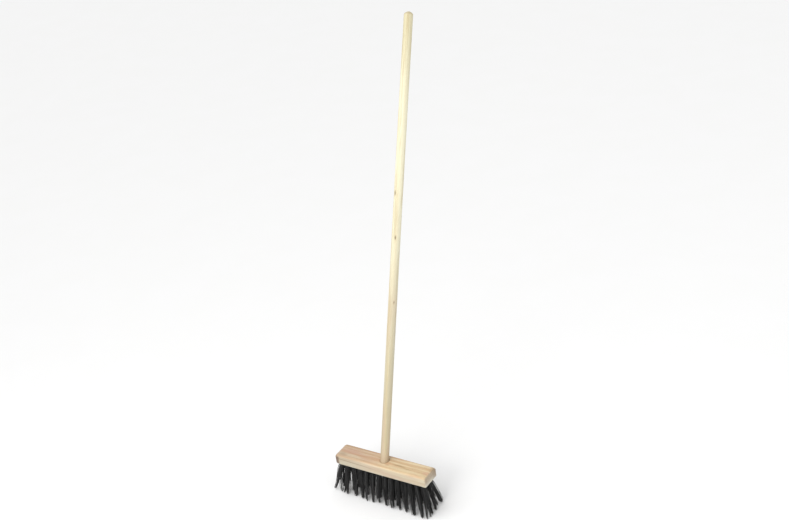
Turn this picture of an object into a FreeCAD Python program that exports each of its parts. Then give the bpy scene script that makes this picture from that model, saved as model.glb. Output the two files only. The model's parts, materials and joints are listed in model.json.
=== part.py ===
"""Push broom: a rectangular beech stock set with four staggered rows of stiff black tufts,
and a round wooden handle seated in an angled tapered socket and held by one wood screw.

Frame: millimetres, +Z up, X along the stock, -Y the front, +Y the back (the handle leans back).
The origin is on the floor, under the middle of the stock, where the bristle tips stand.
"""
import FreeCAD, Part
import math
import os
from collections import namedtuple

import Sketcher
from FreeCAD import Placement, Rotation, Vector

os.makedirs("parts", exist_ok=True)
doc = FreeCAD.newDocument("push_broom")

# ---------------------------------------------------------------- driving dimensions
# alias, value or formula, note
DIMS = [
    ("stock_length", 292.0, "stock, end to end (11.5 in)"),
    ("stock_width", 60.0, "stock, front to back"),
    ("stock_thick", 27.0, "stock, underside to top"),
    ("top_round", 8.0, "round-over of the four upper edges"),
    ("corner_round", 3.0, "round-over of the four upright corners"),
    ("under_ease", 0.8, "eased edge round the underside"),
    ("underside_z", 97.0, "free length of the bristles, floor to underside"),
    ("tuft_pitch", 20.0, "tuft spacing along a row"),
    ("row_inner", 6.5, "inner rows from the centre line"),
    ("row_outer", "=3 * row_inner", "outer rows from the centre line, all rows evenly spaced"),
    ("tuft_hole_dia", 7.8, "tuft hole"),
    ("tuft_hole_deep", 13.0, "tuft hole depth"),
    ("tuft_hole_short", 5.5, "depth of the three holes under the socket"),
    ("tuft_dia", 7.6, "bundle where it leaves the hole"),
    ("tuft_end_gap", 0.1, "room between the bundle and the bottom of its hole"),
    ("tuft_mid_rad", 7.0, "bundle radius half way down"),
    ("tuft_tip_rad", 8.3, "bundle radius at the floor"),
    ("fan_along", 20.0, "how far the end tufts lean outward along X"),
    ("fan_power", 2.2, "how fast that lean grows towards the ends"),
    ("fan_half", "=6.5 * tuft_pitch", "X of the outermost tufts"),
    ("lean_outer", 13.0, "outward lean of the outer rows along Y"),
    ("lean_inner", 1.5, "outward lean of the inner rows along Y"),
    ("anchor_long", 10.2, "flat wire anchor, length across the hole"),
    ("anchor_wire", 0.45, "flat wire anchor, thickness"),
    ("anchor_tall", 2.0, "flat wire anchor, height"),
    ("anchor_seat", 8.6, "anchor above the underside"),
    ("anchor_seat_short", 2.4, "anchor above the underside, short holes"),
    ("anchor_gap", 0.05, "room above and below the anchor"),
    ("groove_wide", 0.55, "groove the anchor is driven along"),
    ("groove_long", 10.4, "the same, length"),
    ("handle_dia", 23.8, "handle shank (15/16 in)"),
    ("handle_length", 1219.0, "handle, end to end (48 in)"),
    ("handle_tilt", 19.0, "lean of the handle from the stock's upright, degrees"),
    ("handle_seat_y", 2.5, "where its axis meets the top face"),
    ("handle_dome", 8.0, "rounding of the upper end"),
    ("foot_rad", 11.1, "radius of the tapered foot at its end"),
    ("foot_taper", 34.0, "length of the tapered foot"),
    ("foot_chamfer", 0.8, "chamfer of the foot"),
    ("taper_rate", "=(handle_dia / 2 - foot_rad) / foot_taper", "foot radius gained per mm"),
    ("socket_depth", 18.0, "socket, along its axis from the top face"),
    ("socket_over", 14.0, "socket cutter, along its axis beyond the top face"),
    ("socket_gap", 0.1, "radial room round the foot"),
    ("screw_z", 15.5, "screw above the underside"),
    ("screw_dia", 3.8, "screw shank"),
    ("screw_hole_dia", 4.0, "screw hole"),
    ("screw_length", 35.0, "screw, head to point"),
    ("screw_hole_deep", "=screw_length + 0.5", "screw hole depth from the back face"),
    ("screw_point", 5.0, "tapered point"),
    ("screw_tip_rad", 0.3, "radius at the very tip"),
    ("screw_head_dia", 7.0, "countersunk head"),
    ("screw_head_tall", 1.8, "countersunk head, height"),
    ("sink_gap", 0.1, "room round and under the head"),
    ("recess_wide", 1.0, "cross recess, width of an arm"),
    ("recess_long", 4.0, "cross recess, length of an arm"),
    ("recess_deep", 1.2, "cross recess, depth"),
]
sheet = doc.addObject("Spreadsheet::Sheet", "dims")
for line, (alias, value, note) in enumerate(DIMS, start=1):
    sheet.set(f"A{line}", alias.replace("_", " "))
    sheet.set(f"B{line}", str(value))
    sheet.setAlias(f"B{line}", alias)
    sheet.set(f"C{line}", note)
doc.recompute()


def dim(alias):
    return float(getattr(sheet, alias))


# ---------------------------------------------------------------- tuft layout
# row name, sign of Y, outer or inner, first index; an index counts tuft pitches from the middle,
# and each row runs from its first index to the mirrored one
ROWS = [
    ("front", -1, "outer", -6.5),
    ("midfront", -1, "inner", -6.0),
    ("midback", 1, "inner", -6.5),
    ("back", 1, "outer", -6.0),
]
SHORT_WITHIN = 0.75  # inner tufts nearer the middle than this index have short holes
INNER_RUN = 6        # full-depth holes at each end of an inner row

# x, y, deep and seat are expressions: place, hole depth and anchor height above the underside
Tuft = namedtuple("Tuft", "name side kind index x y deep seat short")


def row_count(first):
    return round(-2 * first) + 1


def hole_place(side, kind, index):
    return f"dims.tuft_pitch * {index}", f"{side} * dims.row_{kind}"


TUFTS = []
for row, side, kind, first in ROWS:
    for i in range(row_count(first)):
        index = first + i
        x, y = hole_place(side, kind, index)
        short = kind == "inner" and abs(index) < SHORT_WITHIN
        deep = "dims.tuft_hole_short" if short else "dims.tuft_hole_deep"
        seat = "dims.anchor_seat_short" if short else "dims.anchor_seat"
        TUFTS.append(Tuft(f"tuft_{row}_{i + 1:02d}", side, kind, index, x, y, deep, seat, short))

# ---------------------------------------------------------------- shared places
# handle axis and screw axis, measured from the middle of the stock's underside
tilt = dim("handle_tilt")
handle_axis = Vector(0, math.sin(math.radians(tilt)), math.cos(math.radians(tilt)))
axis_seat = Vector(0, dim("handle_seat_y"), dim("stock_thick"))
foot_in_stock = Placement(axis_seat - handle_axis * dim("socket_depth"),
                          Rotation(Vector(1, 0, 0), -tilt))
screw_mouth = Vector(0, dim("stock_width") / 2, dim("screw_z"))
bore_turn = Rotation(Vector(1, 0, 0), 90)    # local +Z runs towards -Y
screw_turn = Rotation(Vector(1, 0, 0), -90)  # local +Z runs towards +Y
bore_in_stock = Placement(screw_mouth, bore_turn)
stock_lift = Vector(0, 0, dim("underside_z"))


# ---------------------------------------------------------------- helpers
def new_body(name):
    body = doc.addObject("PartDesign::Body", name)
    body.Label = name
    return body


def bind(obj, **expressions):
    for prop, text in expressions.items():
        obj.setExpression(prop, text)


def bind_base(obj, placement, **expressions):
    """Bind x, y or z of the named placement property."""
    for axis, text in expressions.items():
        obj.setExpression(f"{placement}.Base.{axis}", text)


def add_attached(body, kind, name, offset=None, **base):
    """Add a feature on the body's XY plane, at a fixed offset or at bound x, y, z."""
    obj = body.newObject(kind, name)
    xy_plane = [o for o in body.Origin.OriginFeatures if o.Role == "XY_Plane"][0]
    obj.AttachmentSupport = [(xy_plane, "")]
    obj.MapMode = "FlatFace"
    obj.AttachmentOffset = offset or Placement()
    bind_base(obj, "AttachmentOffset", **base)
    return obj


def circle_sketch(body, name, radius, **base):
    sketch = add_attached(body, "Sketcher::SketchObject", name, **base)
    sketch.addGeometry(Part.Circle(Vector(0, 0, 0), Vector(0, 0, 1), 5.0), False)
    sketch.addConstraint(Sketcher.Constraint("Coincident", 0, 3, -1, 1))
    sketch.addConstraint(Sketcher.Constraint("Radius", 0, 5.0))
    sketch.renameConstraint(1, "radius")
    sketch.setExpression("Constraints.radius", radius)
    return sketch


def rect_sketch(body, name, wide, tall, **base):
    """A rectangle centred on the sketch origin."""
    sketch = add_attached(body, "Sketcher::SketchObject", name, **base)
    corners = [Vector(-3, -2, 0), Vector(3, -2, 0), Vector(3, 2, 0), Vector(-3, 2, 0)]
    for i in range(4):
        sketch.addGeometry(Part.LineSegment(corners[i], corners[(i + 1) % 4]), False)
    for i in range(4):
        sketch.addConstraint(Sketcher.Constraint("Coincident", i, 2, (i + 1) % 4, 1))
    for i in (0, 2):
        sketch.addConstraint(Sketcher.Constraint("Horizontal", i))
    for i in (1, 3):
        sketch.addConstraint(Sketcher.Constraint("Vertical", i))
    sketch.addConstraint(Sketcher.Constraint("Symmetric", 0, 1, 1, 2, -1, 1))
    sketch.addConstraint(Sketcher.Constraint("DistanceX", 0, 1, 0, 2, 6.0))
    sketch.addConstraint(Sketcher.Constraint("DistanceY", 1, 1, 1, 2, 4.0))
    sketch.renameConstraint(9, "wide")
    sketch.renameConstraint(10, "tall")
    sketch.setExpression("Constraints.wide", wide)
    sketch.setExpression("Constraints.tall", tall)
    return sketch


def recompute_cut(body, before, least, name):
    """Recompute, and stop unless the body has lost more than the least volume."""
    doc.recompute()
    if not body.Shape.Volume < before - least:
        raise RuntimeError(f"{name} removed too little")


def pocket(body, name, sketch, depth, upward):
    before = body.Shape.Volume
    cut = body.newObject("PartDesign::Pocket", name)
    cut.Profile = sketch
    cut.Type = 0  # by length
    cut.Reversed = upward
    bind(cut, Length=depth)
    sketch.Visibility = False
    recompute_cut(body, before, 1e-3, name)
    return cut


def dress(body, kind, name, base, edge_test, **size):
    """Fillet or chamfer the edges of the base feature that pass the test."""
    feature = body.newObject(kind, name)
    edges = [f"Edge{i}" for i, edge in enumerate(base.Shape.Edges, start=1) if edge_test(edge)]
    feature.Base = (base, edges)
    bind(feature, **size)
    doc.recompute()
    return feature


def lies_at(z):
    return lambda edge: all(abs(vertex.Z - z) < 1e-6 for vertex in edge.Vertexes)


def is_upright_corner(edge):
    """A vertical edge that starts on the underside and stops below the top."""
    heights = [vertex.Z for vertex in edge.Vertexes]
    run = edge.Vertexes[-1].Point - edge.Vertexes[0].Point
    vertical = run.Length > 1e-6 and abs(abs(run.normalize().z) - 1) < 1e-6
    return vertical and max(heights) < dim("stock_thick") - 1 and min(heights) < 1e-6


# ---------------------------------------------------------------- stock
def stock_block(stock):
    block = stock.newObject("PartDesign::Pad", "stock_block")
    block.Profile = rect_sketch(stock, "stock_outline", "dims.stock_length", "dims.stock_width")
    bind(block, Length="dims.stock_thick")
    doc.recompute()
    over = dress(stock, "PartDesign::Fillet", "stock_round_over", block,
                 lies_at(dim("stock_thick")), Radius="dims.top_round")
    corner = dress(stock, "PartDesign::Fillet", "stock_corner_round", over,
                   is_upright_corner, Radius="dims.corner_round")
    dress(stock, "PartDesign::Chamfer", "stock_under_ease", corner,
          lies_at(0), Size="dims.under_ease")


def cut_socket(stock):
    """A tapered bore along the handle's own axis."""
    before = stock.Shape.Volume
    socket = add_attached(stock, "PartDesign::SubtractiveCone", "handle_socket", foot_in_stock)
    bind(socket, Radius1="dims.foot_rad + dims.socket_gap",
         Radius2="dims.foot_rad + dims.socket_gap"
                 " + dims.taper_rate * (dims.socket_depth + dims.socket_over)",
         Height="dims.socket_depth + dims.socket_over")
    recompute_cut(stock, before, 100, "handle_socket")


def cut_screw_hole(stock):
    """A hole through the back wall into the socket, countersunk for the head."""
    before = stock.Shape.Volume
    bore = add_attached(stock, "PartDesign::SubtractiveCylinder", "screw_bore", bore_in_stock)
    bind(bore, Radius="dims.screw_hole_dia / 2", Height="dims.screw_hole_deep")
    sink = add_attached(stock, "PartDesign::SubtractiveCone", "screw_sink", bore_in_stock)
    bind(sink, Radius1="dims.screw_head_dia / 2 + dims.sink_gap",
         Radius2="dims.screw_hole_dia / 2", Height="dims.screw_head_tall + dims.sink_gap")
    recompute_cut(stock, before, 20, "screw hole")


def cut_tuft_hole(stock, tag, x, y, deep, seat):
    """One tuft hole and the groove its anchor was driven along."""
    ring = circle_sketch(stock, f"hole_ring_{tag}", "dims.tuft_hole_dia / 2", x=x, y=y)
    hole = pocket(stock, f"hole_{tag}", ring, deep, upward=True)
    slot = rect_sketch(stock, f"groove_outline_{tag}", "dims.groove_long", "dims.groove_wide",
                       x=x, y=y)
    groove = pocket(stock, f"groove_{tag}", slot,
                    f"{seat} + dims.anchor_tall + dims.anchor_gap", upward=True)
    return ring, hole, groove


def cut_hole_run(stock, tag, side, kind, start, number):
    """A run of full-depth holes along X, one pitch apart."""
    x, y = hole_place(side, kind, start)
    ring, hole, groove = cut_tuft_hole(stock, tag, x, y, "dims.tuft_hole_deep", "dims.anchor_seat")
    before = stock.Shape.Volume
    pattern = stock.newObject("PartDesign::LinearPattern", f"holes_{tag}")
    pattern.Originals = [hole, groove]
    pattern.Direction = (ring, ["H_Axis"])
    pattern.Occurrences = number
    bind(pattern, Length=f"dims.tuft_pitch * {number - 1}")
    stock.Tip = pattern
    recompute_cut(stock, before, 100 * (number - 1), f"holes_{tag}")


def build_stock():
    stock = new_body("stock")
    stock_block(stock)
    cut_socket(stock)
    cut_screw_hole(stock)
    for row, side, kind, first in ROWS:
        if kind == "outer":
            runs = [(first, row_count(first))]
        else:
            # the inner rows are interrupted by the short holes under the socket
            runs = [(first, INNER_RUN), (-(first + INNER_RUN - 1), INNER_RUN)]
        for n, (start, number) in enumerate(runs, start=1):
            cut_hole_run(stock, f"{row}_{n}", side, kind, start, number)
    for n, tuft in enumerate(t for t in TUFTS if t.short):
        cut_tuft_hole(stock, f"short_{n}", tuft.x, tuft.y, tuft.deep, tuft.seat)
    bind_base(stock, "Placement", z="dims.underside_z")
    return stock


# ---------------------------------------------------------------- handle
def build_handle():
    """Modelled upright on its foot, then leaned back into the socket."""
    handle = new_body("handle")
    foot = add_attached(handle, "PartDesign::AdditiveCone", "handle_foot")
    bind(foot, Radius1="dims.foot_rad", Radius2="dims.handle_dia / 2", Height="dims.foot_taper")
    shank = add_attached(handle, "PartDesign::AdditiveCylinder", "handle_shank",
                         z="dims.foot_taper")
    bind(shank, Radius="dims.handle_dia / 2", Height="dims.handle_length - dims.foot_taper")
    doc.recompute()
    dome = dress(handle, "PartDesign::Fillet", "handle_dome", shank,
                 lies_at(dim("handle_length")), Radius="dims.handle_dome")
    dress(handle, "PartDesign::Chamfer", "handle_foot_trim", dome,
          lies_at(0), Size="dims.foot_chamfer")

    # the screw hole, carried into the handle's own frame
    before = handle.Shape.Volume
    pilot = add_attached(handle, "PartDesign::SubtractiveCylinder", "screw_pilot",
                         foot_in_stock.inverse().multiply(bore_in_stock))
    bind(pilot, Radius="dims.screw_hole_dia / 2", Height="dims.screw_hole_deep")
    recompute_cut(handle, before, 50, "screw_pilot")
    handle.Placement = Placement(foot_in_stock.Base + stock_lift, foot_in_stock.Rotation)
    return handle


# ---------------------------------------------------------------- handle screw
def build_screw():
    """Modelled point down with the head's face at z = 0, then laid along Y, head to the back."""
    screw = new_body("handle_screw")
    head = add_attached(screw, "PartDesign::AdditiveCone", "screw_head",
                        z="-dims.screw_head_tall")
    bind(head, Radius1="dims.screw_dia / 2", Radius2="dims.screw_head_dia / 2",
         Height="dims.screw_head_tall")
    shank = add_attached(screw, "PartDesign::AdditiveCylinder", "screw_shank",
                         z="-(dims.screw_length - dims.screw_point)")
    bind(shank, Radius="dims.screw_dia / 2",
         Height="dims.screw_length - dims.screw_point - dims.screw_head_tall")
    point = add_attached(screw, "PartDesign::AdditiveCone", "screw_point",
                         z="-dims.screw_length")
    bind(point, Radius1="dims.screw_tip_rad", Radius2="dims.screw_dia / 2",
         Height="dims.screw_point")
    doc.recompute()
    arms = [("dims.recess_long", "dims.recess_wide"), ("dims.recess_wide", "dims.recess_long")]
    for n, (wide, tall) in enumerate(arms):
        arm = rect_sketch(screw, f"recess_arm_{n}", wide, tall)
        pocket(screw, f"recess_{n}", arm, "dims.recess_deep", upward=False)
    screw.Placement = Placement(screw_mouth + stock_lift, screw_turn)
    return screw


# ---------------------------------------------------------------- tufts
def build_tuft(tuft):
    """A bundle folded over its anchor: a round root in the hole, then a flared,
    outward-leaning free part that is cut flat where it stands on the floor."""
    body = new_body(tuft.name)
    sign = -1 if tuft.index < 0 else 1
    reach = f"{abs(tuft.index)} * dims.tuft_pitch / dims.fan_half"
    lean_x = f"{sign} * dims.fan_along * pow({reach}; dims.fan_power)"
    lean_y = f"{tuft.side} * dims.lean_{tuft.kind}"

    root = add_attached(body, "PartDesign::AdditiveCylinder", tuft.name + "_root")
    bind(root, Radius="dims.tuft_dia / 2", Height=f"{tuft.deep} - dims.tuft_end_gap")
    mouth = circle_sketch(body, tuft.name + "_mouth", "dims.tuft_dia / 2")
    middle = circle_sketch(body, tuft.name + "_middle", "dims.tuft_mid_rad",
                           x=f"0.5 * {lean_x}", y=f"0.5 * {lean_y}",
                           z="-0.5 * dims.underside_z")
    tip = circle_sketch(body, tuft.name + "_tip", "dims.tuft_tip_rad",
                        x=lean_x, y=lean_y, z="-dims.underside_z")
    flare = body.newObject("PartDesign::AdditiveLoft", tuft.name + "_flare")
    flare.Profile = mouth
    flare.Sections = [middle, tip]
    flare.Ruled = False
    for sketch in (mouth, middle, tip):
        sketch.Visibility = False

    # the slot the anchor lies in, right across the root
    fold = add_attached(body, "PartDesign::SubtractiveBox", tuft.name + "_fold",
                        x="-dims.tuft_dia", y="-dims.groove_wide / 2",
                        z=f"{tuft.seat} - dims.anchor_gap")
    bind(fold, Length="2 * dims.tuft_dia", Width="dims.groove_wide",
         Height="dims.anchor_tall + 2 * dims.anchor_gap")
    bind_base(body, "Placement", x=tuft.x, y=tuft.y, z="dims.underside_z")
    return body


# ---------------------------------------------------------------- anchors
def build_anchors():
    """One flat wire across each tuft, all in one compound."""
    wires = []
    for tuft in TUFTS:
        wire = doc.addObject("Part::Box", tuft.name.replace("tuft", "anchor"))
        bind(wire, Length="dims.anchor_long", Width="dims.anchor_wire",
             Height="dims.anchor_tall")
        bind_base(wire, "Placement", x=f"{tuft.x} - dims.anchor_long / 2",
                  y=f"{tuft.y} - dims.anchor_wire / 2", z=f"dims.underside_z + {tuft.seat}")
        wires.append(wire)
    anchors = doc.addObject("Part::Compound", "tuft_anchors")
    anchors.Label = "tuft_anchors"
    anchors.Links = wires
    return anchors


pieces = [build_stock(), build_handle(), build_screw()]
pieces += [build_tuft(tuft) for tuft in TUFTS]
anchors = build_anchors()
pieces.append(anchors)
doc.recompute()

# ---------------------------------------------------------------- checks, then one file per piece
failed = [o.Name for o in doc.Objects if any(s in ("Invalid", "Error") for s in o.State)]
if failed:
    raise RuntimeError(f"failed objects: {failed}")
for piece in pieces:
    if piece.Shape.isNull() or not piece.Shape.isValid():
        raise RuntimeError(f"{piece.Label} has no valid shape")
    expected = len(TUFTS) if piece is anchors else 1
    if len(piece.Shape.Solids) != expected:
        raise RuntimeError(f"{piece.Label} has {len(piece.Shape.Solids)} solids")
    piece.Shape.exportStep(f"parts/{piece.Label}.step")
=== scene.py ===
import json
import math
from collections import namedtuple

import bmesh
import bpy
import numpy as np
from mathutils import Matrix, Vector, noise


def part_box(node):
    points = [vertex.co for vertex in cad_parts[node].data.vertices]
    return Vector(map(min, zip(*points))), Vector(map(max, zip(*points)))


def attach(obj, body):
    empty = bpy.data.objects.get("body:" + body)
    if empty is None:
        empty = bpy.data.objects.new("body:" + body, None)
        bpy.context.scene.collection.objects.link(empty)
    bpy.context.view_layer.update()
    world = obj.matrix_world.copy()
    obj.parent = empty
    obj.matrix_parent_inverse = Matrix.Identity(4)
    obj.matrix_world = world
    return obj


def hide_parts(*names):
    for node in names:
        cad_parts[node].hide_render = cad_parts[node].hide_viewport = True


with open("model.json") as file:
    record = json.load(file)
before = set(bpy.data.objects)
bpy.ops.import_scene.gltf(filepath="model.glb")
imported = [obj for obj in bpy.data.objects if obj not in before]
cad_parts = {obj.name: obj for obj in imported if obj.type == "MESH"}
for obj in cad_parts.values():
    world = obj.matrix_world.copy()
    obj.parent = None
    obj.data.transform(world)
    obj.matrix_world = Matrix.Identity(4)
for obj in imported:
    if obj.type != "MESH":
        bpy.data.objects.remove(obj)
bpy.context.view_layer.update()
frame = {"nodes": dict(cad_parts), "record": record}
NODES = frame["nodes"]
MM = 0.001

# ------------------------------------------------------------------ sizes taken from the frame
STOCK_LO, STOCK_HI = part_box("stock")
HALF_X = (STOCK_HI.x - STOCK_LO.x) / 2
HALF_Y = (STOCK_HI.y - STOCK_LO.y) / 2
Z_UNDER, Z_TOP = STOCK_LO.z, STOCK_HI.z
THICK = Z_TOP - Z_UNDER

SHANK = next(m for m in frame["record"]["mounts"] if m["name"] == "handle_shank")
SHANK_LEN = SHANK["dims"]["length_mm"] * MM
HANDLE_R = SHANK["dims"]["r_mm"] * MM
FOOT_R = 11.1 * MM
FOOT_TAPER = 34.0 * MM  # length over which the foot widens to the full radius
DOME = 8.0 * MM  # height of the rounded upper end
HANDLE_LEN = FOOT_TAPER + SHANK_LEN + DOME

AXIS = Vector(SHANK["axis"]).normalized()
SIDE = Vector((1, 0, 0))
RISE = AXIS.cross(SIDE)  # across the handle, towards +Y
FOOT = Vector(SHANK["pos_m"]) - AXIS * (FOOT_TAPER + SHANK_LEN / 2)

SCREW_LO, SCREW_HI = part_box("handle_screw")
SCREW_AT = Vector((0, HALF_Y, (SCREW_LO.z + SCREW_HI.z) / 2))

# knots on the handle: share of the length, direction round it in degrees, radius in mm
KNOTS = [(0.6187, 253.0, 3.3), (0.5223, 291.0, 3.0), (0.3795, 318.0, 2.2),
         (0.865, 120.0, 2.8), (0.215, 40.0, 3.0)]


# ------------------------------------------------------------------ shader helpers
def linear(level):
    level /= 255.0
    return level / 12.92 if level <= 0.04045 else ((level + 0.055) / 1.055) ** 2.4


def colour(value):
    """RGBA from a grey level, a linear RGB tuple, or a tuple of 0-255 screen values."""
    if isinstance(value, (int, float)):
        return (value, value, value, 1.0)
    if max(value) > 1.0:
        return tuple(linear(level) for level in value) + (1.0,)
    return tuple(value) + (1.0,)


class Shader:
    """A material with a Principled BSDF. Methods add a node and return its output socket."""

    COLOUR = 1  # the colour output of a noise texture

    def __init__(self, name):
        self.material = bpy.data.materials.new(name)
        self.material.use_nodes = True
        self.tree = self.material.node_tree
        self.tree.nodes.clear()
        output = self.tree.nodes.new("ShaderNodeOutputMaterial")
        self.bsdf = self.tree.nodes.new("ShaderNodeBsdfPrincipled")
        self.tree.links.new(self.bsdf.outputs[0], output.inputs[0])

    def put(self, socket, value):
        """Links a socket, or sets a plain value."""
        if isinstance(value, bpy.types.NodeSocket):
            self.tree.links.new(value, socket)
        else:
            socket.default_value = value

    def set(self, **inputs):
        for key, value in inputs.items():
            self.put(self.bsdf.inputs[key.replace("_", " ")], value)

    def node(self, kind, **inputs):
        made = self.tree.nodes.new(kind)
        for key, value in inputs.items():
            self.put(made.inputs[key], value)
        return made

    def position(self):
        return self.node("ShaderNodeTexCoord").outputs["Object"]

    def attribute(self, name, output):
        made = self.node("ShaderNodeAttribute")
        made.attribute_name = name
        return made.outputs[output]

    def split(self, vector):
        """The x, y and z sockets of a vector."""
        return tuple(self.node("ShaderNodeSeparateXYZ", Vector=vector).outputs)

    def math(self, operation, first, second=0.0):
        made = self.node("ShaderNodeMath")
        made.operation = operation
        self.put(made.inputs[0], first)
        self.put(made.inputs[1], second)
        return made.outputs[0]

    def times(self, first, second):
        return self.math("MULTIPLY", first, second)

    def inverse(self, value):
        return self.math("SUBTRACT", 1.0, value)

    def most(self, values):
        result = values[0]
        for value in values[1:]:
            result = self.math("MAXIMUM", result, value)
        return result

    def vector(self, operation, first, second):
        made = self.node("ShaderNodeVectorMath")
        made.operation = operation
        self.put(made.inputs[0], first)
        self.put(made.inputs[1], second)
        return made.outputs[0]

    def length(self, vector):
        made = self.node("ShaderNodeVectorMath")
        made.operation = "LENGTH"
        self.put(made.inputs[0], vector)
        return made.outputs[1]

    def mix(self, share, first, second, blend="MIX"):
        made = self.node("ShaderNodeMix")
        made.data_type = "RGBA"
        made.blend_type = blend
        made.clamp_factor = True
        self.put(made.inputs[0], share)
        for slot, value in ((6, first), (7, second)):
            self.put(made.inputs[slot], colour(value) if isinstance(value, tuple) else value)
        return made.outputs[2]

    def multiply(self, base, tone):
        return self.mix(1.0, base, tone, blend="MULTIPLY")

    def paint(self, base, *layers):
        """Blends colours over base in turn. A layer is (mask, share, colour), or
        (value, share, colour, span) where the share builds up over a span of the value."""
        for source, share, tone, *span in layers:
            if span:
                amount = self.remap(source, span[0], to=(0.0, share))
            else:
                amount = self.times(source, share)
            base = self.mix(amount, base, tone)
        return base

    def ramp(self, value, stops):
        """A colour ramp through stops of (position, colour)."""
        made = self.node("ShaderNodeValToRGB")
        elements = made.color_ramp.elements
        while len(elements) > 1:
            elements.remove(elements[-1])
        elements[0].position, elements[0].color = stops[0][0], colour(stops[0][1])
        for position, tone in stops[1:]:
            elements.new(position).color = colour(tone)
        self.put(made.inputs[0], value)
        return made.outputs[0]

    def noise(self, vector, scale, detail=3.0, rough=0.5, out=0):
        made = self.node("ShaderNodeTexNoise", Vector=vector, Scale=scale, Detail=detail,
                         Roughness=rough)
        return made.outputs[out]

    def scaled(self, vector, scale, shift=(0, 0, 0)):
        return self.node("ShaderNodeMapping", Vector=vector, Scale=scale,
                         Location=shift).outputs[0]

    def grain(self, vector, scale, detail=3.0, rough=0.5, shift=(0, 0, 0), out=0):
        """Noise with its own scale along each axis."""
        return self.noise(self.scaled(vector, scale, shift), 1.0, detail, rough, out)

    def wobble(self, coloured_noise, amount):
        """An offset vector centred on zero."""
        centred = self.vector("SUBTRACT", coloured_noise, (0.5, 0.5, 0.5))
        return self.vector("MULTIPLY", centred, amount)

    def remap(self, value, span, to=(0.0, 1.0), smooth=True):
        made = self.node("ShaderNodeMapRange")
        made.interpolation_type = "SMOOTHSTEP" if smooth else "LINEAR"
        for slot, number in enumerate((value, *span, *to)):
            self.put(made.inputs[slot], number)
        return made.outputs[0]

    def relief(self, *layers):
        """Stacked bumps; a layer is (height, distance in metres, strength)."""
        normal = None
        for height, distance, strength in layers:
            made = self.node("ShaderNodeBump", Height=height, Distance=distance,
                             Strength=strength)
            if normal is not None:
                self.put(made.inputs["Normal"], normal)
            normal = made.outputs[0]
        return normal

    def ring_count(self, point, wander, pith, stretch, per_metre):
        """Growth rings counted outwards from the pith line."""
        centre = self.vector("ADD", self.vector("ADD", point, wander), pith)
        return self.times(self.length(self.vector("MULTIPLY", centre, stretch)), per_metre)

    def latewood(self, rings, rise, fall, row, scale, faintest):
        """The dark part of each ring; some rings are fainter than others."""
        saw = self.math("FRACT", rings)
        late = self.times(self.remap(saw, rise), self.remap(saw, fall))
        number = self.node("ShaderNodeCombineXYZ", X=self.math("FLOOR", rings), Y=row, Z=0.0)
        per_ring = self.noise(number.outputs[0], scale, detail=1.0)
        return self.times(late, self.remap(per_ring, (0.3, 0.7), to=(faintest, 1.0)))


# ------------------------------------------------------------------ stock wood
# blotches on the top face, and one painted shadow beside the handle foot: centre x, y in mm,
# half sizes in mm, wobble, share, colour
STOCK_SPOTS_AND_SHADOW = [
    ((50, -4), (24, 3.4, 6), 0.35, 0.60, (158, 128, 88)),
    ((76, -9), (20, 2.6, 6), 0.35, 0.50, (168, 138, 96)),
    ((136, -6), (15, 9, 10), 0.30, 0.55, (210, 158, 130)),
    ((-104, 4), (40, 14, 8), 0.40, 0.60, (216, 164, 138)),
    ((-40, -15), (36, 9, 9), 0.35, 0.45, (212, 162, 128)),
    ((-126, -16), (18, 9, 9), 0.40, 0.45, (176, 140, 112)),
    # painted shadow at the left back of the handle foot
    ((-14, 9), (6, 5, 5), 0.30, 0.60, (128, 104, 78)),
    ((16, -12), (9, 4, 5), 0.30, 0.40, (178, 120, 88)),
]


def stock_rings(m, pos):
    # the wander is slow and stretched along the board
    wander = m.grain(pos, scale=(5.0, 22.0, 22.0), detail=2.0, out=m.COLOUR)
    wander = m.wobble(wander, amount=(0.0, 0.016, 0.016))
    rings = m.ring_count(pos, wander, pith=(0.0, -0.052, 0.045), stretch=(0.03, 1.0, 1.0),
                         per_metre=430.0)
    return m.latewood(rings, rise=(0.45, 0.93), fall=(1.0, 0.95), row=0.0, scale=1.7,
                      faintest=0.25)


def stock_flecks(m, pos):
    """Short dark ray flecks, as beech has."""
    cells = m.node("ShaderNodeTexVoronoi", Vector=m.scaled(pos, scale=(230.0, 1150.0, 1150.0)),
                   Scale=1.0)
    gaps = m.grain(pos, scale=(40.0, 120.0, 120.0), detail=2.0)
    return m.times(m.remap(cells.outputs["Distance"], span=(0.26, 0.12)),
                   m.remap(gaps, span=(0.40, 0.60)))


def stock_spots_and_shadow(m, pos, base):
    for (x, y), size, wobble, share, tone in STOCK_SPOTS_AND_SHADOW:
        offset = m.vector("SUBTRACT", pos, (x * MM, y * MM, Z_TOP))
        offset = m.vector("DIVIDE", offset, tuple(s * MM for s in size))
        ragged = m.grain(pos, scale=(70, 260, 260), detail=3.0, rough=0.6, out=m.COLOUR)
        offset = m.vector("ADD", offset, m.wobble(ragged, amount=(wobble * 4,) * 3))
        base = m.paint(base, (m.remap(m.length(offset), span=(1.15, 0.25)), share, tone))
    return base


def stock_end_grain(m, x, z, late, pores):
    """Varnish-soaked end grain, darker at the left end and pale low on the right one."""
    tone = m.mix(m.remap(late, span=(0.1, 0.8)), (196, 174, 150), (156, 130, 106))
    right_low = m.times(m.remap(z, span=(Z_UNDER + 0.017, Z_UNDER + 0.004)),
                        m.remap(x, span=(0.0, 0.12)))
    return m.paint(tone,
                   (pores, 0.5, (120, 86, 60), (0.45, 0.7)),
                   (m.remap(x, span=(0.0, -0.12)), 0.55, (128, 100, 78)),
                   (right_low, 0.7, (222, 210, 192)))


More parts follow.
